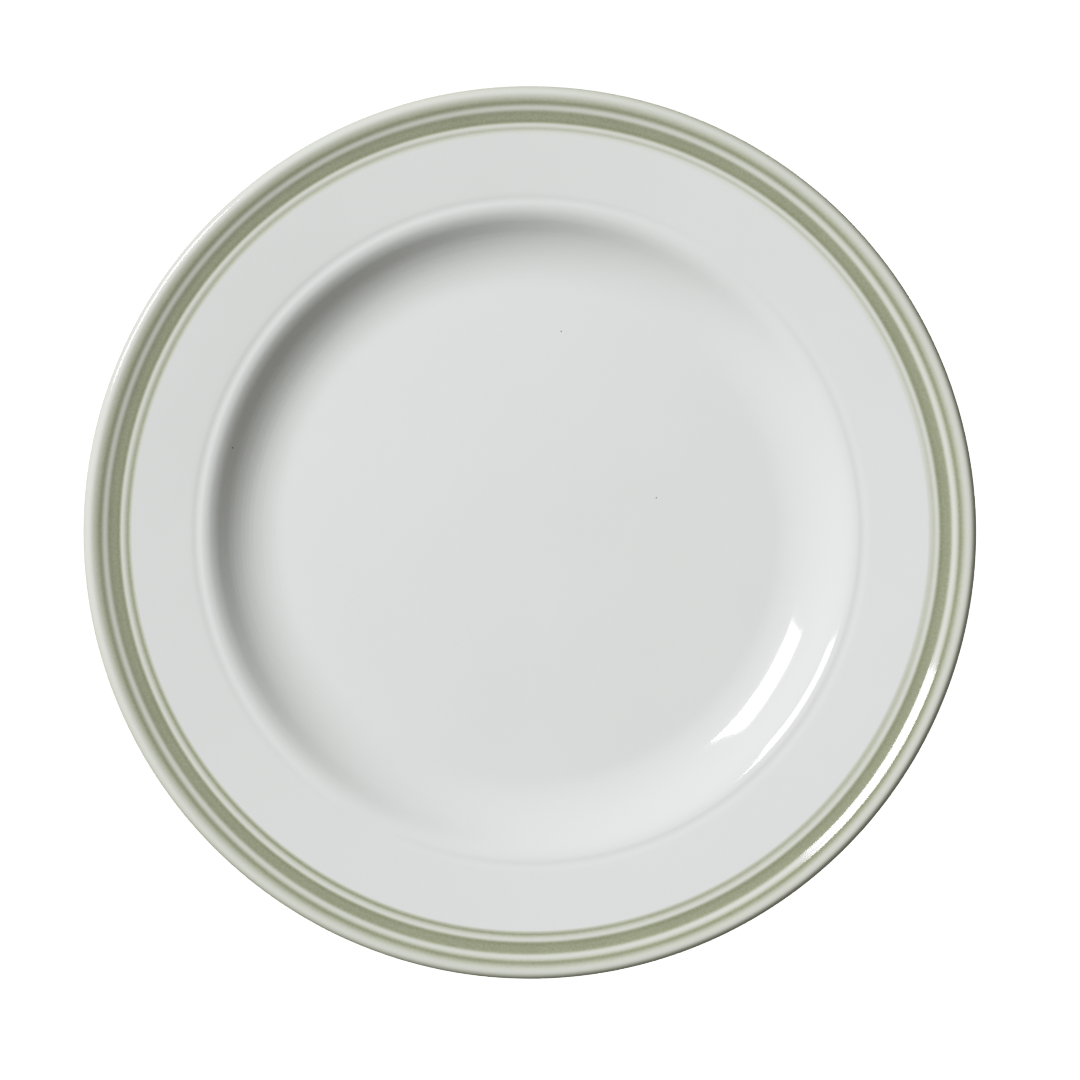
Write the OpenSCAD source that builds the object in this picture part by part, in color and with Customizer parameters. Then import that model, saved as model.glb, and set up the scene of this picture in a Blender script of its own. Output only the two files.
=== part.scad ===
// Rimmed dinner plate in glazed china, with three embossed rings in coloured glaze
// round the edge. Millimetres, +Z up. The origin is the centre of the plane that
// the foot ring stands on, and every piece is turned about Z.
//
// The section is one chain of stations that runs from the middle of the well, out
// over the edge, back along the underside and up into the foot recess. A station
// is [radius, heading, glaze]: heading is the direction of travel in degrees, and
// glaze is how thick the glaze lies there. Two stations are joined by the circular
// arc, or the straight line, that has both headings, so the surface has no kinks.
// Headings on the underside are turned by half a circle, because travel is inward.

/* [Plate] */
// Outside diameter over the rolled edge
plate_d = 270; // [264:1:278]
// Thickness of the plate at the middle of the well
floor_t = 4.4; // [4.2:0.1:5.5]

/* [Well] */
// Radius of the flat floor of the well
floor_r = 74.7; // [73.5:0.1:75.5]
// Radius where the cove meets the straight wall
cove_r = 92.4; // [91.8:0.1:92.8]
// Radius where the straight wall ends
wall_r = 94.4; // [94:0.1:94.8]
// Slope of the wall of the well, in degrees
wall_slope = 42; // [41:0.5:43]
// Radius where the wall starts to turn over into the shoulder
brow_r = 96.8; // [96.5:0.1:97.1]
// Slope where the wall starts to turn over into the shoulder, in degrees
brow_slope = 30.5; // [29.5:0.5:31.5]

/* [Flange] */
// Radius where the shoulder flattens
shoulder_r = 99.1; // [98.8:0.1:99.4]
// Slope where the shoulder flattens, in degrees
shoulder_slope = 12; // [10:0.5:13]
// Radius of the bottom of the fine groove round the shoulder
dip_r = 100; // [99.8:0.1:100.3]
// Radius of the steepest part of the outer side of the fine groove
climb_r = 101.9; // [101.6:0.1:102.2]
// Steepest upward slope of the outer side of the fine groove, in degrees
climb_slope = 16; // [13:0.5:17]
// Radius where the plain flange begins
flange_r = 103.2; // [102.9:0.1:104]
// Slope of the plain flange, in degrees
flange_slope = 9; // [8.6:0.1:9.4]

/* [Embossed rings, measured in from the edge] */
// Start of the fine line
line_in = 14.5; // [14.4:0.1:15]
// Inner side of the fine line, where it dips under the flange
line_dip_in = 14; // [13.9:0.1:14.2]
// Deepest glaze of the fine line
line_deep_in = 13.4; // [13.2:0.1:13.6]
// Steepest part of the fine line's outer side
line_side_in = 12.8; // [12.6:0.1:13]
// Start of the inner ridge
ridge1_in = 12; // [11.9:0.1:12.2]
// Flattest part of the inner ridge
ridge1_crest_in = 11.5; // [11.45:0.05:11.6]
// Start of the wide band
band_in = 11.2; // [11.1:0.1:11.3]
// Deepest glaze of the wide band
band_deep_in = 10.6; // [10.4:0.1:10.8]
// Middle of the bed of the wide band
band_bed_in = 9.6; // [9.4:0.1:9.8]
// Outer side of the bed of the wide band, before it climbs
band_foot_in = 8.5; // [8.3:0.1:8.7]
// Where the glaze of the wide band starts to thin
band_thin_in = 7.8; // [7.7:0.1:8]
// Start of the outer ridge, its steepest part
ridge2_in = 7.2; // [7.1:0.1:7.4]
// Thinnest glaze over the outer ridge
ridge2_crest_in = 6.8; // [6.7:0.1:6.9]
// Start of the edge groove
edge_in = 6.3; // [6.2:0.1:6.4]
// Steepest part of the inner side of the edge groove
edge_side_in = 5.6; // [5.5:0.1:5.8]
// Deepest glaze of the edge groove
edge_deep_in = 5.15; // [5.1:0.05:5.2]
// Flattest part of the edge groove
edge_bed_in = 4.6; // [4.4:0.1:4.8]
// Where the edge groove climbs to the roll
edge_climb_in = 3.8; // [3.6:0.1:4]
// Where the edge starts to roll over
edge_roll_in = 2.9; // [2.7:0.1:3]
// Radius of the roll over the top of the edge
roll_r = 2; // [1.9:0.1:2.2]

/* [Slopes of the embossed rings] */
// Slope where the fine line dips under the flange
line_dip_slope = 2; // [0.5:0.5:3]
// Slope at the deepest glaze of the fine line
line_slope = 6; // [5:0.5:8]
// Steepest slope of the fine line's outer side
line_side_slope = 13; // [11:0.5:15]
// Slope up to the inner ridge
ridge1_slope = 9.5; // [8:0.5:10.5]
// Slope over the inner ridge
ridge1_crest_slope = 4.5; // [3:0.5:6]
// Slope at the deepest glaze of the wide band
band_deep_slope = 9; // [7.5:0.5:9.5]
// Slope in the middle of the bed of the wide band
band_bed_slope = 10; // [9.5:0.5:11]
// Slope at the outer side of the bed of the wide band
band_foot_slope = 14; // [12:0.5:15]
// Slope where the glaze of the wide band starts to thin
band_thin_slope = 20; // [19:0.5:22]
// Slope where the outer ridge starts
ridge2_slope = 24.5; // [23.5:0.5:26]
// Slope at the thinnest glaze over the outer ridge
ridge2_crest_slope = 22.5; // [21.5:0.5:23]
// Slope where the edge groove starts
edge_slope = 20.5; // [20:0.5:21]
// Steepest slope of the inner side of the edge groove
edge_side_slope = 25; // [23:0.5:26]
// Slope at the deepest glaze of the edge groove
edge_deep_slope = 18; // [17:0.5:19]
// Slope of the flattest part of the edge groove
edge_bed_slope = 12.5; // [11:0.5:14]
// Slope where the edge groove climbs to the roll
edge_climb_slope = 17.5; // [16.5:0.5:18.5]
// Slope where the edge starts to roll over
edge_roll_slope = 15; // [14:0.5:16]

/* [Glaze thickness] */
// Clear glaze over the well, the flange and the back
film = 0.22; // [0.15:0.01:0.3]
// Glaze where clear gives way to green, beside the fine line and under the edge
seam_film = 0.05; // [0.04:0.01:0.08]
// Width over which the clear glaze thins toward the fine line
seam_width = 1.2; // [1:0.1:1.5]
// Coloured glaze where the fine line dips under the flange
line_dip_glaze = 0.21; // [0.14:0.01:0.26]
// Coloured glaze at the deepest part of the fine line
line_glaze = 0.46; // [0.36:0.01:0.5]
// Coloured glaze on the outer side of the fine line
line_side_glaze = 0.22; // [0.16:0.01:0.26]
// Glaze over the inner ridge, where it runs thin
ridge1_film = 0.06; // [0.05:0.01:0.1]
// Coloured glaze at the inner side of the wide band
band_side_glaze = 0.26; // [0.18:0.01:0.3]
// Coloured glaze at the deepest part of the wide band
band_glaze = 0.57; // [0.48:0.01:0.6]
// Coloured glaze over the bed of the wide band
band_bed_glaze = 0.43; // [0.38:0.01:0.48]
// Coloured glaze at the outer side of the bed of the wide band
band_foot_glaze = 0.44; // [0.38:0.01:0.48]
// Coloured glaze where the wide band starts to thin
band_thin_glaze = 0.44; // [0.36:0.01:0.48]
// Glaze where the outer ridge starts
ridge2_film = 0.14; // [0.1:0.01:0.16]
// Glaze over the outer ridge, where it runs thin
ridge2_crest_film = 0.06; // [0.05:0.01:0.08]
// Glaze where the edge groove starts
edge_film = 0.08; // [0.06:0.01:0.12]
// Coloured glaze on the inner side of the edge groove
edge_side_glaze = 0.28; // [0.22:0.01:0.32]
// Coloured glaze at the deepest part of the edge groove
edge_glaze = 0.51; // [0.44:0.01:0.56]
// Coloured glaze at the flattest part of the edge groove
edge_bed_glaze = 0.4; // [0.34:0.01:0.44]
// Coloured glaze where the edge groove climbs to the roll
edge_climb_glaze = 0.22; // [0.2:0.01:0.28]
// Glaze where the edge starts to roll over
edge_roll_glaze = 0.1; // [0.08:0.01:0.13]
// Glaze over the top of the roll, where it runs thin
roll_film = 0.06; // [0.05:0.01:0.1]
// Coloured glaze on the outermost edge
lip_glaze = 0.24; // [0.16:0.01:0.26]

/* [Underside] */
// Slope of the flange underneath, in degrees
under_slope = 10.5; // [10.1:0.1:10.7]
// Radius where the flange underneath turns down
under_flange_r = 103.9; // [103:0.1:104.5]
// Radius where the wall underneath becomes straight
under_wall_r = 99.2; // [98.8:0.1:99.4]
// Radius where the wall underneath starts to flatten
under_cove_r = 96; // [95.5:0.1:96.5]
// Slope of the wall underneath, in degrees
under_wall_slope = 40; // [39:0.5:40.5]
// Radius where the underside meets the foot ring
foot_join_r = 84; // [83.5:0.1:84.5]
// Slope where the underside meets the foot ring, in degrees
foot_join_slope = 18; // [17:0.5:18.5]

/* [Foot ring] */
// Outer radius of the flat standing face
stand_outer_r = 80.8; // [80.6:0.1:81]
// Inner radius of the flat standing face
stand_inner_r = 78.4; // [78:0.1:78.8]
// Width of the rounded corner beside the standing face
foot_corner = 0.7; // [0.6:0.05:0.8]
// Width of the bare flank of the foot ring
foot_flank = 0.3; // [0.25:0.05:0.35]
// Slope of the flanks of the foot ring, in degrees
foot_slope = 72; // [70:1:73]
// Width over which the glaze thins out to nothing
glaze_stop = 0.3; // [0.25:0.05:0.35]
// Slope where the glaze reaches its full thickness, in degrees
glaze_full_slope = 60; // [59:1:61]
// Width from the glaze's full thickness to the flat recess
recess_fillet = 1.2; // [1.1:0.1:1.5]

/* [Hidden] */
$fn = 180;

// Largest turn of the section between two points, in degrees
arc_step = 3;
edge_r = plate_d / 2;

// Height gained along the arc or line from station a to station b
function rise(a, b) =
    a[1] == b[1]
        ? (b[0] - a[0]) * tan(a[1])
        : arc_radius(a, b) * (cos(a[1]) - cos(b[1]));

function arc_radius(a, b) = (b[0] - a[0]) / (sin(b[1]) - sin(a[1]));

// Height gained along a chain, counted from its station i
function chain_rise(chain, i = 0) =
    i + 1 < len(chain) ? rise(chain[i], chain[i + 1]) + chain_rise(chain, i + 1) : 0;

function inward(slope) = slope - 180;

// The foot ring, from the foot of the underside's wall to the middle of the recess
foot_outside = [
    [foot_join_r, inward(foot_join_slope), film],
    [stand_outer_r + foot_corner + foot_flank + glaze_stop, inward(glaze_full_slope), film],
    [stand_outer_r + foot_corner + foot_flank, inward(foot_slope), 0]
];
foot_bare = [
    [stand_outer_r + foot_corner, inward(foot_slope), 0],
    [stand_outer_r, inward(0), 0],
    [stand_inner_r, inward(0), 0],
    [stand_inner_r - foot_corner, inward(-foot_slope), 0],
    [stand_inner_r - foot_corner - foot_flank, inward(-foot_slope), 0]
];
glazed_inner_r = stand_inner_r - foot_corner - foot_flank - glaze_stop;
recess = [
    [glazed_inner_r, inward(-glaze_full_slope), film],
    [glazed_inner_r - recess_fillet, inward(0), film],
    [0, inward(0), film]
];

// Heights above the standing face
stand_to_recess = concat([foot_bare[2]], [foot_bare[3]], [foot_bare[4]], recess);
floor_z = chain_rise(stand_to_recess) + floor_t;

// The face, from the middle of the well to the outermost point of the edge
face = [
    [floor_r, 0, film],
    [cove_r, wall_slope, film],
    [wall_r, wall_slope, film],
    [brow_r, brow_slope, film],
    [shoulder_r, shoulder_slope, film],
    [dip_r, 0, film],
    [climb_r, climb_slope, film],
    [flange_r, flange_slope, film],
    [edge_r - line_in - seam_width, flange_slope, film],
    [edge_r - line_in, flange_slope, seam_film]
];
line = [
    [edge_r - line_dip_in, line_dip_slope, line_dip_glaze],
    [edge_r - line_deep_in, line_slope, line_glaze],
    [edge_r - line_side_in, line_side_slope, line_side_glaze],
    [edge_r - ridge1_in, ridge1_slope, ridge1_film]
];
ridge_inner = [
    [edge_r - ridge1_crest_in, ridge1_crest_slope, ridge1_film],
    [edge_r - band_in, ridge1_crest_slope, band_side_glaze]
];
band = [
    [edge_r - band_deep_in, band_deep_slope, band_glaze],
    [edge_r - band_bed_in, band_bed_slope, band_bed_glaze],
    [edge_r - band_foot_in, band_foot_slope, band_foot_glaze],
    [edge_r - band_thin_in, band_thin_slope, band_thin_glaze],
    [edge_r - ridge2_in, ridge2_slope, ridge2_film]
];
ridge_outer = [
    [edge_r - ridge2_crest_in, ridge2_crest_slope, ridge2_crest_film],
    [edge_r - edge_in, edge_slope, edge_film]
];
edge_top = [
    [edge_r - edge_side_in, edge_side_slope, edge_side_glaze],
    [edge_r - edge_deep_in, edge_deep_slope, edge_glaze],
    [edge_r - edge_bed_in, edge_bed_slope, edge_bed_glaze],
    [edge_r - edge_climb_in, edge_climb_slope, edge_climb_glaze],
    [edge_r - edge_roll_in, edge_roll_slope, edge_roll_glaze],
    [edge_r - roll_r, 0, roll_film],
    [edge_r, -90, lip_glaze]
];
middle = [0, 0, film];
edge_z = floor_z
    + chain_rise(concat([middle], face, line, ridge_inner, band, ridge_outer, edge_top));

// The underside, between the roll under the edge and the foot ring
under_wall = [
    [under_flange_r, inward(under_slope), film],
    [under_wall_r, inward(under_wall_slope), film],
    [under_cove_r, inward(under_wall_slope), film]
];
under_flange_z =
    -chain_rise(concat(under_wall, foot_outside, [foot_bare[0]], [foot_bare[1]]));

// Radius of the roll under the edge: it touches both the edge and the flange below
lip_r = ((edge_z - under_flange_z) * cos(under_slope)
    - (edge_r - under_flange_r) * sin(under_slope)) / (1 - sin(under_slope));
edge_under = [[edge_r - lip_r * (1 - sin(under_slope)), inward(under_slope), seam_film]];

// The chain, cut where one glaze gives way to the next
CHAINS = [
    face,
    line,
    ridge_inner,
    band,
    ridge_outer,
    concat(edge_top, edge_under),
    concat(under_wall, foot_outside),
    foot_bare,
    recess
];
FACE = 0;
LINE = 1;
RIDGE_INNER = 2;
BAND = 3;
RIDGE_OUTER = 4;
EDGE = 5;
BACK = 6;
RECESS = 8;

function last(list) = list[len(list) - 1];

// Stations of chain i, with the one that it shares with the chain before it
function stations(i) = concat([i == 0 ? middle : last(CHAINS[i - 1])], CHAINS[i]);

function start_z(i) = i == 0 ? floor_z : start_z(i - 1) + chain_rise(stations(i - 1));

// Points [radius, height, heading, glaze] from station a to station b, without a
function stretch(a, b, z) =
    let (turn = b[1] - a[1], steps = max(1, ceil(abs(turn) / arc_step)))
    [for (k = [1:steps])
        let (h = a[1] + turn * k / steps, r = k == steps ? b[0] : point_r(a, b, h))
        [r, z + rise(a, [r, h]), h, a[2] + (b[2] - a[2]) * k / steps]];

function point_r(a, b, heading) = a[0] + arc_radius(a, b) * (sin(heading) - sin(a[1]));

// Points along stations i onward of a chain that starts at height z
function trace(chain, z, i = 0) =
    i + 1 < len(chain)
        ? concat(
            stretch(chain[i], chain[i + 1], z),
            trace(chain, z + rise(chain[i], chain[i + 1]), i + 1))
        : [];

function points(i) =
    let (first = stations(i)[0])
    concat([[first[0], start_z(i), first[1], first[2]]], trace(stations(i), start_z(i)));

function on_glaze(p) = [p[0], p[1]];

// The same point on the body, under the glaze and square to the surface
function on_body(p) = [p[0] + p[3] * sin(p[2]), p[1] - p[3] * cos(p[2])];

function reversed(list) = [for (i = [len(list) - 1:-1:0]) list[i]];

// One glaze, between its surface and the body
module glaze_skin(i) {
    skin = points(i);
    glazed = [for (p = skin) if (p[3] > 0) on_body(p)];
    rotate_extrude()
        polygon(concat([for (p = skin) on_glaze(p)], reversed(glazed)));
}

// The fired body, with the grooves that the glazes fill and a bare standing face
module porcelain_body() {
    color("#efede6")
        rotate_extrude()
            polygon([
                for (i = [0:len(CHAINS) - 1])
                    for (k = [(i == 0 ? 0 : 1):len(points(i)) - 1])
                        on_body(points(i)[k])
            ]);
}

// Clear glaze over the well, the shoulder and the flange
module clear_glaze_face() {
    color("#dcdedd")
        glaze_skin(FACE);
}

// Green glaze in the fine line
module green_glaze_line() {
    color("#a9ad92")
        glaze_skin(LINE);
}

// Thin glaze over the inner ridge
module ridge_glaze_inner() {
    color("#d4d5cd")
        glaze_skin(RIDGE_INNER);
}

// Green glaze pooled in the wide band
module green_glaze_band() {
    color("#94997d")
        glaze_skin(BAND);
}

// Thin glaze over the outer ridge
module ridge_glaze_outer() {
    color("#dadad5")
        glaze_skin(RIDGE_OUTER);
}

// Green glaze in the edge groove, running thin over the rolled edge
module green_glaze_edge() {
    color("#b7baa6")
        glaze_skin(EDGE);
}

// Clear glaze over the underside, down to the bare foot
module clear_glaze_back() {
    color("#d8dad9")
        glaze_skin(BACK);
}

// Clear glaze in the recess inside the foot ring
module clear_glaze_recess() {
    color("#d8dad9")
        glaze_skin(RECESS);
}

porcelain_body();
clear_glaze_face();
green_glaze_line();
ridge_glaze_inner();
green_glaze_band();
ridge_glaze_outer();
green_glaze_edge();
clear_glaze_back();
clear_glaze_recess();
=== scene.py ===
"""Looks for the rimmed china dinner plate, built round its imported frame.

The section of the plate is read from the frame's own meshes, smoothed to the way a
glaze settles, and turned into one closed piece for the fired body and one for each
glaze. Lengths are in metres unless a name says otherwise.
"""

import math

import bpy
import numpy as np
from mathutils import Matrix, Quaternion, Vector


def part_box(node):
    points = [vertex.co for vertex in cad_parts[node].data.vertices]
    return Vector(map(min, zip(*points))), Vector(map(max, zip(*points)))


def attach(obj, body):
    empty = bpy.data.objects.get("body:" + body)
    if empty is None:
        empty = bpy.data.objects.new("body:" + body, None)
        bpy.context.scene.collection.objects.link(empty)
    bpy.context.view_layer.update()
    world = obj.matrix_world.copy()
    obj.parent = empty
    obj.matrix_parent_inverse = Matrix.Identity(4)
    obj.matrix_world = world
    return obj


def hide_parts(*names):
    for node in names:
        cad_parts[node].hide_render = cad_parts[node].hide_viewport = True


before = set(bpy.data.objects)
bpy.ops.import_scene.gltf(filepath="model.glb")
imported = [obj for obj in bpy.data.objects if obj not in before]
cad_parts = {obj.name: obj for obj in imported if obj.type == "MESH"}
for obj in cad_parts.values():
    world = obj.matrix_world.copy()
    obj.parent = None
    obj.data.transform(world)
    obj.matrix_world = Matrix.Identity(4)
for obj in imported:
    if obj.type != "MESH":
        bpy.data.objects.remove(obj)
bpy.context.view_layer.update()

MM = 0.001
BODY_NODE = "porcelain_body"

# The nodes in the order in which the plate's surface meets them, from the middle of
# the well, over the edge and back to the middle of the foot recess. They are the
# glazes, and the body where its bare foot comes between the last two.
SURFACE_NODES = (
    "clear_glaze_face",
    "green_glaze_line",
    "ridge_glaze_inner",
    "green_glaze_band",
    "ridge_glaze_outer",
    "green_glaze_edge",
    "clear_glaze_back",
    BODY_NODE,
    "clear_glaze_recess",
)


# ---------------------------------------------------------------- the section

SAME_POINT = 0.003 * MM
TOUCHING = 0.01 * MM
ROUNDING = 0.001 * MM


def merged_rings(mesh):
    """The circles that a turned mesh's points lie on, and each point's circle.

    A circle is a (radius, height) row.
    """
    co = np.empty(len(mesh.vertices) * 3)
    mesh.vertices.foreach_get("co", co)
    co = co.reshape(-1, 3)
    place = np.stack([np.hypot(co[:, 0], co[:, 1]), co[:, 2]], axis=1)
    whole = np.round(place / ROUNDING).astype(int)
    keys, ring_of = np.unique(whole, axis=0, return_inverse=True)
    rings, merged = [], np.zeros(len(keys), int)
    for i, key in enumerate(keys * ROUNDING):
        near = [k for k, ring in enumerate(rings) if np.hypot(*(ring - key)) < SAME_POINT]
        if not near:
            rings.append(key)
        merged[i] = near[0] if near else len(rings) - 1
    return np.array(rings), merged[ring_of.ravel()]


def outline(node):
    """A turned node's outline as ordered (radius, height) rows.

    It is a loop, unless it starts and ends on the axis.
    """
    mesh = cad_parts[node].data
    rings, ring_of = merged_rings(mesh)
    ends = np.empty(len(mesh.edges) * 2, int)
    mesh.edges.foreach_get("vertices", ends)
    links = {k: set() for k in range(len(rings))}
    for a, b in np.unique(ring_of[ends].reshape(-1, 2), axis=0):
        if a != b:
            links[a].add(b)
            links[b].add(a)
    open_ends = [k for k in links if len(links[k]) == 1]
    here = open_ends[0] if open_ends else 0
    order, before = [here], None
    while True:
        onward = [k for k in links[here] if k != before and k not in order]
        if not onward:
            break
        before, here = here, onward[0]
        order.append(here)
    points = rings[order]
    if open_ends:
        points = np.vstack([[0.0, points[0][1]], points, [0.0, points[-1][1]]])
    return points


def distance(points, line):
    """Each point's distance from a polyline."""
    a, b = line[:-1], line[1:]
    span = b - a
    along = np.einsum("pij,ij->pi", points[:, None] - a, span) / np.maximum((span**2).sum(1), 1e-18)
    foot = a + np.clip(along, 0, 1)[..., None] * span
    return np.linalg.norm(points[:, None] - foot, axis=2).min(1)


def closed(points):
    """The loop with its first point again at its end, or an open outline as it is."""
    return points if points[0][0] == 0 else np.vstack([points, points[:1]])


def longest_run(points, wanted):
    """The one run of an outline where wanted holds: its points, and its first and last index."""
    if points[0][0] != 0 and wanted[0]:
        shift = int(np.argmin(wanted))
        points, wanted = np.roll(points, -shift, axis=0), np.roll(wanted, -shift)
    kept = np.flatnonzero(wanted)
    return points[kept[0] : kept[-1] + 1], kept[0], kept[-1]


def surface_chain():
    """The plate's whole outer surface in order.

    It gives the points, the glaze's depth at each, and the point where each node starts.
    """
    body = outline(BODY_NODE)
    glaze_outlines = {n: outline(n) for n in SURFACE_NODES if n != BODY_NODE}
    bare = np.ones(len(body), bool)
    for line in glaze_outlines.values():
        bare &= distance(body, closed(line)) > TOUCHING
    _, first, last = longest_run(body, bare)
    foot = body[first - 1 : last + 2]
    chain, starts = None, {}
    for node in SURFACE_NODES:
        if node == BODY_NODE:
            stretch = foot
        else:
            line = glaze_outlines[node]
            stretch = longest_run(line, distance(line, body) > TOUCHING)[0]
        if chain is None:
            stretch = stretch if stretch[0][0] == 0 else stretch[::-1]
            chain = stretch[:1]
        elif np.hypot(*(stretch[-1] - chain[-1])) < np.hypot(*(stretch[0] - chain[-1])):
            stretch = stretch[::-1]
        starts[node] = len(chain) - 1
        apart = np.hypot(*(stretch[0] - chain[-1])) > SAME_POINT
        chain = np.vstack([chain, stretch if apart else stretch[1:]])
    return chain, distance(chain, body), starts


def gaussian_smooth(values, step, width, sign):
    """Values smoothed along the section, mirrored at the axis with the given sign."""
    reach = int(4 * width / step)
    kernel = np.exp(-0.5 * (np.arange(-reach, reach + 1) * step / width) ** 2)
    before, after = values[reach:0:-1], values[-2 : -reach - 2 : -1]
    padded = np.concatenate([sign * before, values, sign * after])
    return np.convolve(padded, kernel / kernel.sum(), mode="valid")


class Section:
    """The plate's surface as smooth functions of the distance travelled along it."""

    STEP = 0.04 * MM
    SETTLE = 0.15 * MM  # how far the surface and the glaze's depth are evened out
    # The most that changes between two neighbouring rings of points
    MAX_TURN = math.radians(1.3)
    MAX_THINNING = 0.03 * MM
    MAX_GAP = 5 * MM

    def __init__(self):
        chain, depth, starts = surface_chain()
        travel = np.concatenate([[0], np.cumsum(np.hypot(*np.diff(chain, axis=0).T))])
        self.s = np.linspace(0, travel[-1], int(travel[-1] / self.STEP) + 1)
        step = self.s[1]
        raw = [np.interp(self.s, travel, values) for values in (*chain.T, depth)]
        self.r = gaussian_smooth(raw[0], step, self.SETTLE, -1)
        self.z = gaussian_smooth(raw[1], step, self.SETTLE, 1)
        self.depth = gaussian_smooth(raw[2], step, self.SETTLE, 1)
        self.r[0] = self.r[-1] = 0.0
        dr, dz = np.gradient(self.r), np.gradient(self.z)
        length = np.hypot(dr, dz)
        self.normal = np.stack([-dz / length, dr / length], axis=1)
        self.normal[0], self.normal[-1] = (0, 1), (0, -1)
        turning = np.hypot(*np.gradient(self.normal, axis=0).T) / step
        thinning = np.abs(np.gradient(self.depth)) / step
        detail = turning / self.MAX_TURN + thinning / self.MAX_THINNING + 1 / self.MAX_GAP
        self.work = np.concatenate([[0], np.cumsum((detail[1:] + detail[:-1]) / 2 * step)])
        bounds = [travel[starts[n]] for n in SURFACE_NODES] + [travel[-1]]
        self.range = {n: (bounds[i], bounds[i + 1]) for i, n in enumerate(SURFACE_NODES)}

    def rings(self, node):
        """Where a node's rings of points stand along the section, closer where it bends."""
        low, high = np.interp(self.range[node], self.s, self.work)
        count = max(2, int(high - low))
        return np.interp(np.linspace(low, high, count + 1), self.work, self.s)

    def at(self, s):
        """Surface points, outward normals and glaze depths at the distances s."""
        points = np.stack([np.interp(s, self.s, self.r), np.interp(s, self.s, self.z)], axis=1)
        normals = np.stack([np.interp(s, self.s, self.normal[:, k]) for k in (0, 1)], axis=1)
        normals /= np.linalg.norm(normals, axis=1)[:, None]
        return points, normals, np.interp(s, self.s, self.depth)


section = Section()


# ---------------------------------------------------------------- turned pieces

SEGMENTS = 480
ANGLES = np.arange(SEGMENTS) * (2 * math.pi / SEGMENTS)


def turned_piece(name, profile, strip_normals, depths):
    """A closed solid turned about Z.

    profile has (radius, height) rows, travelled with the outside on the left, and it
    ends where it starts or on the axis. strip_normals gives the two normals of each
    strip between neighbouring rows, and depths the glaze depths round each row.
    """
    on_axis = profile[:, 0] < SAME_POINT
    first = np.concatenate([[0], np.cumsum(np.where(on_axis, 1, SEGMENTS))])
    turn = np.stack([np.cos(ANGLES), np.sin(ANGLES)], axis=1)
    vertices, glaze = [], []
    for (r, z), pole, depth in zip(profile, on_axis, depths):
        spin = turn[:1] * 0 if pole else turn * r
        vertices.append(np.column_stack([spin, np.full(len(spin), z)]))
        glaze.append(depth[:1] if pole else depth)
    loop = not (on_axis[0] and on_axis[-1])
    faces, corner_normals = [], []
    here = np.arange(SEGMENTS)
    onward = (here + 1) % SEGMENTS
    for i in range(len(profile) - (0 if loop else 1)):
        j = (i + 1) % len(profile)
        corners = [(i, here), (j, here), (j, onward), (i, onward)]
        if on_axis[i]:
            corners = [(i, here * 0), (j, here), (j, onward)]
        elif on_axis[j]:
            corners = [(i, here), (j, here * 0), (i, onward)]
        faces.extend(np.stack([first[k] + at for k, at in corners], axis=1).tolist())
        normals = []
        for k, at in corners:
            outward, upward = strip_normals[i][0 if k == i else 1]
            around = turn[at] if not on_axis[k] else turn[here]
            normals.append(np.column_stack([around * outward, np.full(SEGMENTS, upward)]))
        corner_normals.append(np.stack(normals, axis=1).reshape(-1, 3))
    mesh = bpy.data.meshes.new(name)
    mesh.from_pydata(np.concatenate(vertices).tolist(), [], faces)
    mesh.update()
    mesh.attributes.new("glaze_mm", "FLOAT", "POINT").data.foreach_set(
        "value", (np.concatenate(glaze) / MM).astype(np.float32)
    )
    mesh.polygons.foreach_set("use_smooth", np.ones(len(mesh.polygons), bool))
    mesh.normals_split_custom_set(np.concatenate(corner_normals).tolist())
    piece = bpy.data.objects.new(name, mesh)
    bpy.context.scene.collection.objects.link(piece)
    return piece


def strips(normals):
    """The pair of normals at the two sides of each strip between neighbouring rows."""
    return [(normals[i], normals[i + 1]) for i in range(len(normals) - 1)]


# How deep the glaze lies round the inner half of the fine line: one brush stroke that
# runs thin on the far right and full on the near left.
STROKE_MEAN = 0.63
STROKE_SWING = 0.48
STROKE_FULL = math.radians(-133)
STROKE_HOLDS_TO = 0.45  # of the line's width
STROKE_ENDS_AT = 0.76
brush_stroke = STROKE_MEAN + STROKE_SWING * np.cos(ANGLES - STROKE_FULL)


def round_the_plate(depths, s):
    """Glaze depths round the plate at the distances s along the section."""
    start, end = section.range["green_glaze_line"]
    across = (s - start) / (end - start)
    stroke_share = np.clip((STROKE_ENDS_AT - across) / (STROKE_ENDS_AT - STROKE_HOLDS_TO), 0, 1)
    return depths[:, None] * (1 + stroke_share[:, None] * (brush_stroke - 1))


def glaze_piece(name, node):
    """One glaze as a closed skin: its own surface outside, and the body's surface underneath."""
    s = section.rings(node)
    outer, outer_normals, depths = section.at(s)
    inner = (outer - outer_normals * depths[:, None])[::-1]
    inner[:, 0] = np.where(outer[::-1, 0] == 0, 0.0, inner[:, 0])
    over = strips(outer_normals)
    under = strips(-outer_normals[::-1])
    last_wall = (np.array([outer_normals[-1][1], -outer_normals[-1][0]]),) * 2
    first_wall = (np.array([-outer_normals[0][1], outer_normals[0][0]]),) * 2
    depths = round_the_plate(depths, s)
    bare = np.zeros_like(depths)
    if outer[-1][0] == 0:
        profile, normals, depths = [inner, outer], under + [first_wall] + over, [bare, depths]
    else:
        profile, normals, depths = [outer, inner], over + [last_wall] + under, [depths, bare]
        if outer[0][0] > 0:
            normals.append(first_wall)
    return turned_piece(name, np.vstack(profile), normals, np.vstack(depths))


def body_piece(name):
    """The fired body: what the glazes leave, from the middle of the well round to the foot recess."""
    s = np.concatenate([section.rings(n)[:-1] for n in SURFACE_NODES] + [[section.s[-1]]])
    points, normals, depths = section.at(s)
    points = points - normals * depths[:, None]
    points[0][0] = points[-1][0] = 0.0
    return turned_piece(name, points, strips(normals), np.zeros((len(points), SEGMENTS)))


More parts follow.
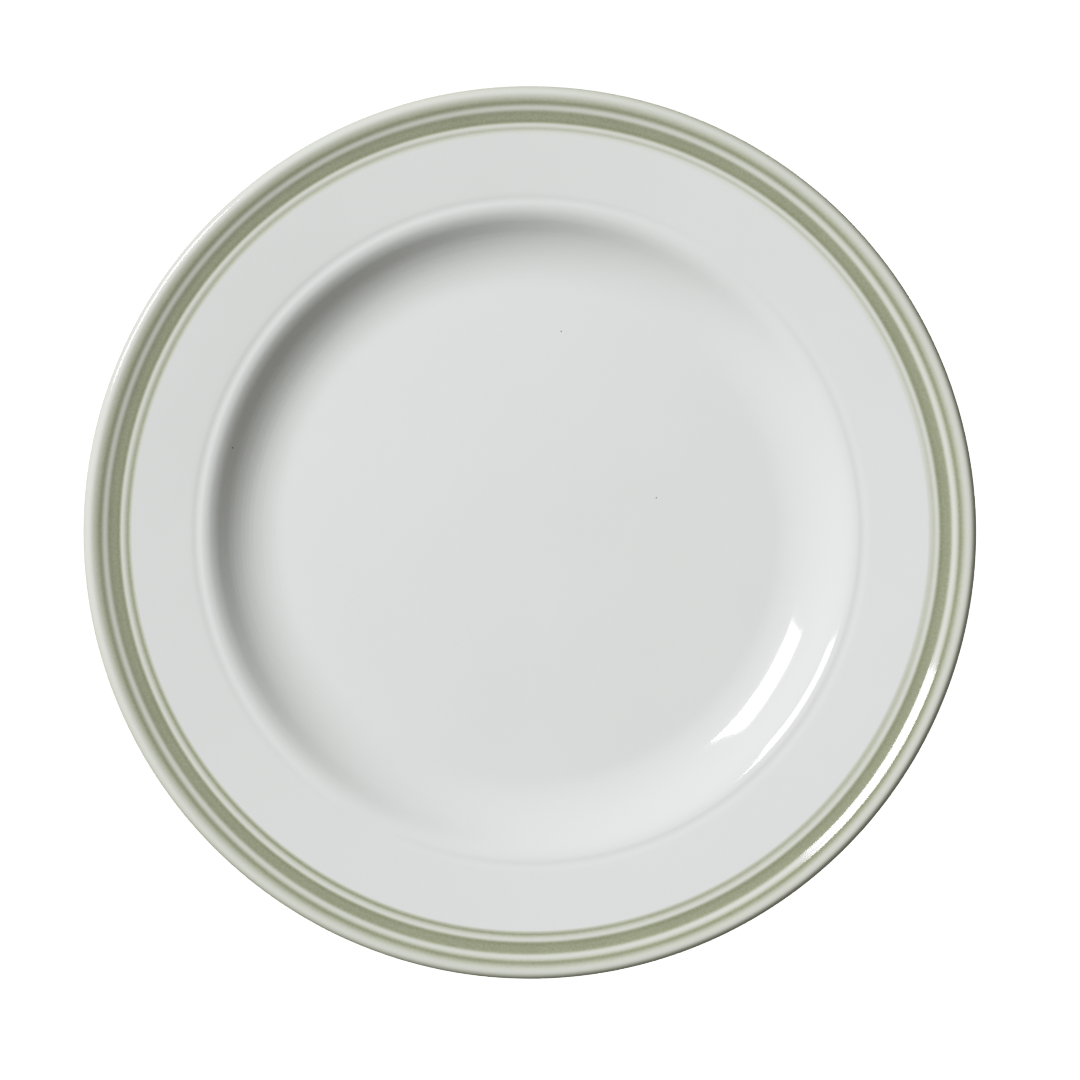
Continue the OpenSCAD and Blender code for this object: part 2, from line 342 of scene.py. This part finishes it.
# ---------------------------------------------------------------- materials


class Nodes:
    """A material's node tree, with short calls for the nodes that the materials share."""

    def __init__(self, name):
        self.material = bpy.data.materials.new(name)
        self.material.use_nodes = True
        self.tree = self.material.node_tree
        self.shader = self.tree.nodes["Principled BSDF"]

    def add(self, kind, **settings):
        node = self.tree.nodes.new(kind)
        for key, value in settings.items():
            if key[0].isupper():
                node.inputs[key].default_value = value
            else:
                setattr(node, key, value)
        return node

    def link(self, out, into):
        self.tree.links.new(out, into)
        return into.node

    def math(self, operation, a, b):
        node = self.add("ShaderNodeMath", operation=operation)
        for socket, value in zip(node.inputs, (a, b)):
            if isinstance(value, (int, float)):
                socket.default_value = value
            else:
                self.link(value, socket)
        return node.outputs[0]

    def position(self, stretch=(1, 1, 1)):
        place = self.add("ShaderNodeTexCoord").outputs["Object"]
        mapping = self.add("ShaderNodeMapping")
        mapping.inputs["Scale"].default_value = stretch
        self.link(place, mapping.inputs["Vector"])
        return mapping.outputs[0]

    def noise(self, size, detail=2.0, roughness=0.5):
        """Noise from 0 to 1, whose lumps are about size across."""
        node = self.add("ShaderNodeTexNoise", Scale=1 / size, Detail=detail, Roughness=roughness)
        self.link(self.position(), node.inputs["Vector"])
        return node.outputs["Fac"]

    def ramp(self, value, stops, smooth=False):
        node = self.add("ShaderNodeValToRGB")
        elements = node.color_ramp.elements
        node.color_ramp.interpolation = "EASE" if smooth else "LINEAR"
        while len(elements) < len(stops):
            elements.new(0.5)
        for element, (place, colour) in zip(elements, stops):
            element.position = place
            element.color = (*colour, 1)
        self.link(value, node.inputs["Fac"])
        return node.outputs["Color"]

    def scaled(self, value, low, high):
        """A value from 0 to 1, spread from low to high."""
        node = self.add("ShaderNodeMapRange")
        node.inputs["To Min"].default_value = low
        node.inputs["To Max"].default_value = high
        self.link(value, node.inputs["Value"])
        return node.outputs["Result"]

    def mix(self, factor, a, b):
        node = self.add("ShaderNodeMix", data_type="RGBA")
        sockets = node.inputs["Factor"], node.inputs[6], node.inputs[7]
        for socket, value in zip(sockets, (factor, a, b)):
            if isinstance(value, (tuple, float, int)):
                socket.default_value = value
            else:
                self.link(value, socket)
        return node.outputs[2]

    def bump(self, height, depth, before=None):
        """Bump of a height from 0 to 1, whose full depth is given in metres."""
        node = self.add("ShaderNodeBump", Strength=1.0, Distance=depth)
        self.link(height, node.inputs["Height"])
        if before is not None:
            self.link(before, node.inputs["Normal"])
        return node.outputs["Normal"]


CLEAR = (0.646, 0.668, 0.6735)
# What a millimetre of green glaze lets through of red, green and blue, there and back
GREEN_PER_MM = (0.171, 0.179, 0.1)
# The thinnest film is a little warmer than that
BLUE = 2
THIN_FILM_MM = 0.06
THIN_FILM_EXTRA = 0.25

# Places, in millimetres from the middle, of the tiny specks of iron that fired through
SPECKS_MM = ((9.5, 61.3), (38.5, 10.6), (-90.2, 25.7))
SPECK_RADIUS = 0.3 * MM
SPECK_COLOUR = (0.11, 0.10, 0.085, 1)


def glossy_surface(n):
    """The fired gloss: very smooth, with faint ripples where the glaze flowed."""
    haze = n.noise(14 * MM, detail=3)
    n.link(n.scaled(haze, 0.05, 0.1), n.shader.inputs["Roughness"])
    n.shader.inputs["IOR"].default_value = 1.5
    flow = n.bump(n.noise(11 * MM, detail=1), 0.012 * MM)
    pinholes = n.bump(n.noise(0.9 * MM, detail=2), 0.0006 * MM, flow)
    n.link(pinholes, n.shader.inputs["Normal"])


def clear_glaze(name, specks=()):
    """White body seen through clear glaze, a little uneven, with a few specks."""
    n = Nodes(name)
    shade = n.ramp(
        n.noise(38 * MM, detail=3),
        ((0.25, tuple(c * 0.985 for c in CLEAR)), (0.75, tuple(c * 1.01 for c in CLEAR))),
    )
    grain = n.ramp(n.noise(0.5 * MM, detail=2), ((0.3, (0.985,) * 3), (0.7, (1.0,) * 3)))
    tinted = n.add("ShaderNodeMix", data_type="RGBA", blend_type="MULTIPLY")
    tinted.inputs["Factor"].default_value = 1.0
    n.link(shade, tinted.inputs[6])
    n.link(grain, tinted.inputs[7])
    colour = tinted.outputs[2]
    flat = n.position((1, 1, 0))
    for x, y in specks:
        apart = n.add("ShaderNodeVectorMath", operation="DISTANCE")
        n.link(flat, apart.inputs[0])
        apart.inputs[1].default_value = (x * MM, y * MM, 0)
        near = n.add("ShaderNodeMapRange", interpolation_type="SMOOTHSTEP")
        near.inputs["From Min"].default_value = SPECK_RADIUS
        near.inputs["From Max"].default_value = SPECK_RADIUS * 0.4
        n.link(apart.outputs["Value"], near.inputs["Value"])
        colour = n.mix(near.outputs["Result"], colour, SPECK_COLOUR)
    n.link(colour, n.shader.inputs["Base Color"])
    glossy_surface(n)
    return n.material


def green_glaze(name):
    """Green glaze over the white body, darker the deeper it lies, and finely mottled."""
    n = Nodes(name)
    depth = n.add("ShaderNodeAttribute", attribute_name="glaze_mm").outputs["Fac"]
    mottle = n.scaled(n.noise(0.75 * MM, detail=4, roughness=0.65), 0.72, 1.28)
    drift = n.scaled(n.noise(16 * MM, detail=3), 0.93, 1.07)
    deep = n.math("MULTIPLY", n.math("MULTIPLY", depth, mottle), drift)
    seen = n.add("ShaderNodeCombineColor")
    film = n.math("MULTIPLY", n.math("MINIMUM", depth, THIN_FILM_MM), THIN_FILM_EXTRA)
    warm = n.math("ADD", deep, film)
    for channel, (per_mm, clear) in enumerate(zip(GREEN_PER_MM, CLEAR)):
        let_through = n.math("POWER", per_mm, warm if channel == BLUE else deep)
        n.link(n.math("MULTIPLY", let_through, clear), seen.inputs[channel])
    n.link(seen.outputs["Color"], n.shader.inputs["Base Color"])
    glossy_surface(n)
    return n.material


def biscuit(name):
    """The bare fired body of the foot ring: dry, fine-grained and a little rubbed."""
    n = Nodes(name)
    grain = n.noise(0.6 * MM, detail=5, roughness=0.7)
    clay = n.ramp(grain, ((0.3, (0.56, 0.535, 0.48)), (0.7, (0.69, 0.67, 0.615))))
    rubbed = n.ramp(n.noise(9 * MM, detail=4), ((0.5, (0, 0, 0)), (0.72, (1, 1, 1))), smooth=True)
    n.link(n.mix(rubbed, clay, (0.47, 0.455, 0.42, 1)), n.shader.inputs["Base Color"])
    n.link(n.scaled(grain, 0.62, 0.85), n.shader.inputs["Roughness"])
    n.link(n.bump(grain, 0.03 * MM), n.shader.inputs["Normal"])
    return n.material


# ---------------------------------------------------------------- the pieces

face_finish = clear_glaze("clear_glaze_over_face", SPECKS_MM)
plain_finish = clear_glaze("clear_glaze_over_back")
green_finish = green_glaze("green_glaze_by_depth")
biscuit_finish = biscuit("bare_biscuit")

PIECES = (
    # piece, node, material slot in the record, finish
    ("glaze_over_face", "clear_glaze_face", "clear_glaze", face_finish),
    ("glaze_in_fine_line", "green_glaze_line", "green_glaze", green_finish),
    ("glaze_over_inner_ridge", "ridge_glaze_inner", "thin_glaze", green_finish),
    ("glaze_in_wide_band", "green_glaze_band", "green_glaze", green_finish),
    ("glaze_over_outer_ridge", "ridge_glaze_outer", "thin_glaze", green_finish),
    ("glaze_over_edge", "green_glaze_edge", "green_glaze", green_finish),
    ("glaze_over_back", "clear_glaze_back", "clear_glaze", plain_finish),
    ("glaze_in_foot_recess", "clear_glaze_recess", "clear_glaze", plain_finish),
    ("fired_body", BODY_NODE, "biscuit", biscuit_finish),
)

plate = bpy.data.collections.new("plate")
for name, node, slot, finish in PIECES:
    piece = body_piece(name) if node == BODY_NODE else glaze_piece(name, node)
    piece.data.materials.append(finish)
    plate.objects.link(piece)
    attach(piece, "root")
    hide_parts(node)


# ---------------------------------------------------------------- floor, light, camera

low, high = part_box("green_glaze_edge")
plate_radius = (high.x - low.x) / 2
rim_height = high.z


def studio_floor():
    """A plain pale floor, level with the foot, that rises far away into a seamless backdrop.

    Only the camera sees it, so it throws no light back at the plate.
    """
    flat_radius, sweep_radius, sweep_slope, onward = 3.0, 4.0, math.radians(40), 20
    steps = 12
    turns = [sweep_slope * k / steps for k in range(steps + 1)]
    profile = [(0.0, 0.0)]
    for a in turns:
        rise = sweep_radius * (1 - math.cos(a))
        profile.append((flat_radius + sweep_radius * math.sin(a), rise))
    end_radius, end_rise = profile[-1]
    profile.append((end_radius + onward, end_rise + onward * math.tan(sweep_slope)))
    sides = 64
    points = [
        (r * math.cos(k * math.tau / sides), r * math.sin(k * math.tau / sides), z)
        for r, z in profile
        for k in range(sides)
    ]
    faces = []
    for i in range(len(profile) - 1):
        inner, outer = i * sides, (i + 1) * sides
        for k in range(sides):
            beside = (k + 1) % sides
            faces.append((inner + k, outer + k, outer + beside, inner + beside))
    mesh = bpy.data.meshes.new("floor")
    mesh.from_pydata(points, [], faces)
    mesh.polygons.foreach_set("use_smooth", [True] * len(faces))
    n = Nodes("pale_floor")
    tone = n.ramp(n.noise(0.6, detail=2), ((0.3, (0.93, 0.93, 0.93)), (0.7, (0.95, 0.95, 0.95))))
    n.link(tone, n.shader.inputs["Base Color"])
    n.shader.inputs["Roughness"].default_value = 0.9
    n.shader.inputs["Specular IOR Level"].default_value = 0.0
    mesh.materials.append(n.material)
    obj = bpy.data.objects.new("floor", mesh)
    obj.visible_diffuse = obj.visible_glossy = obj.visible_shadow = False
    bpy.context.scene.collection.objects.link(obj)
    return obj


def light(name, kind, place, receivers, roll=0.0):
    """A light at a place, aimed at the plate and rolled, that reaches only the receivers."""
    data = bpy.data.lights.new(name, kind)
    obj = bpy.data.objects.new(name, data)
    obj.location = place
    aim = Vector((0, 0, rim_height)) - obj.location
    turned = aim.to_track_quat("-Z", "Y") @ Quaternion((0, 0, 1), roll)
    obj.rotation_euler = turned.to_euler()
    obj.visible_camera = False
    bpy.context.scene.collection.objects.link(obj)
    obj.light_linking.receiver_collection = receivers
    return data


def softbox(name, azimuth, elevation, away, width, height, roll, watts):
    """A rectangular soft light on the plate."""
    flat = math.cos(elevation)
    direction = Vector((flat * math.cos(azimuth), flat * math.sin(azimuth), math.sin(elevation)))
    data = light(name, "AREA", direction * away, plate, roll)
    data.shape = "RECTANGLE"
    data.size, data.size_y = width, height
    data.energy = watts


def floor_light(floor, strength):
    """Very soft light from overhead, which leaves only the plate's own shadow on the floor."""
    stage = bpy.data.collections.new("stage")
    stage.objects.link(floor)
    data = light("floor_light", "SUN", Vector((0, 0, 5)), stage)
    data.angle = math.radians(120)
    data.energy = strength


def surroundings(above, below):
    """Even light from all round: one colour above the horizon, fading to another below it."""
    world = bpy.data.worlds.new("studio")
    world.use_nodes = True
    tree = world.node_tree
    direction = tree.nodes.new("ShaderNodeTexCoord")
    split = tree.nodes.new("ShaderNodeSeparateXYZ")
    height = tree.nodes.new("ShaderNodeMapRange")
    height.inputs["From Min"].default_value = -0.3
    height.inputs["From Max"].default_value = 0.1
    colour = tree.nodes.new("ShaderNodeMix")
    colour.data_type = "RGBA"
    colour.inputs[6].default_value = (*below, 1)
    colour.inputs[7].default_value = (*above, 1)
    background = tree.nodes["Background"]
    tree.links.new(direction.outputs["Generated"], split.inputs[0])
    tree.links.new(split.outputs["Z"], height.inputs["Value"])
    tree.links.new(height.outputs["Result"], colour.inputs["Factor"])
    tree.links.new(colour.outputs[2], background.inputs["Color"])
    bpy.context.scene.world = world


# How bright the picture shows each brightness in the scene: a soft toe and shoulder
BRIGHTEST = 2.0
TONES = (
    (0.12, 0.1),
    (0.23, 0.2),
    (0.4, 0.395),
    (0.55, 0.57),
    (0.7, 0.705),
    (0.8, 0.762),
    (0.95, 0.82),
    (1.6, 1.0),
)


def tone_curve():
    settings = bpy.context.scene.view_settings
    settings.view_transform = "Standard"
    settings.use_curve_mapping = True
    mapping = settings.curve_mapping
    mapping.clip_max_x = mapping.clip_max_y = BRIGHTEST
    mapping.extend = "HORIZONTAL"
    *each_channel, all_channels = mapping.curves
    for curve in each_channel:
        curve.points[1].location = (BRIGHTEST, BRIGHTEST)
    all_channels.points[1].location = (BRIGHTEST, 1.0)
    for seen, shown in TONES:
        all_channels.points.new(seen, shown)
    mapping.update()


CAMERA_HEIGHT = 2.0
PLATE_SHARE = 0.8277  # of the frame's width
OFF_CENTRE = (0.0226, -0.0168)  # how far the frame's middle lies from the plate's, in plate radii


def camera():
    """Looks straight down, with the plate a little left of the middle and above it."""
    data = bpy.data.cameras.new("camera")
    data.sensor_width = 36
    half_view = plate_radius / PLATE_SHARE
    data.lens = data.sensor_width / 2 * (CAMERA_HEIGHT - rim_height) / half_view
    obj = bpy.data.objects.new("camera", data)
    obj.location = (OFF_CENTRE[0] * plate_radius, OFF_CENTRE[1] * plate_radius, CAMERA_HEIGHT)
    bpy.context.scene.collection.objects.link(obj)
    bpy.context.scene.camera = obj


floor_light(studio_floor(), strength=11)
softbox(
    "key",
    azimuth=math.radians(147.2),
    elevation=math.radians(43),
    away=2.15,
    width=0.72,
    height=0.9,
    roll=math.radians(5),
    watts=63,
)
surroundings(above=(0.209, 0.198, 0.174), below=(0.45, 0.43, 0.365))
tone_curve()
camera()
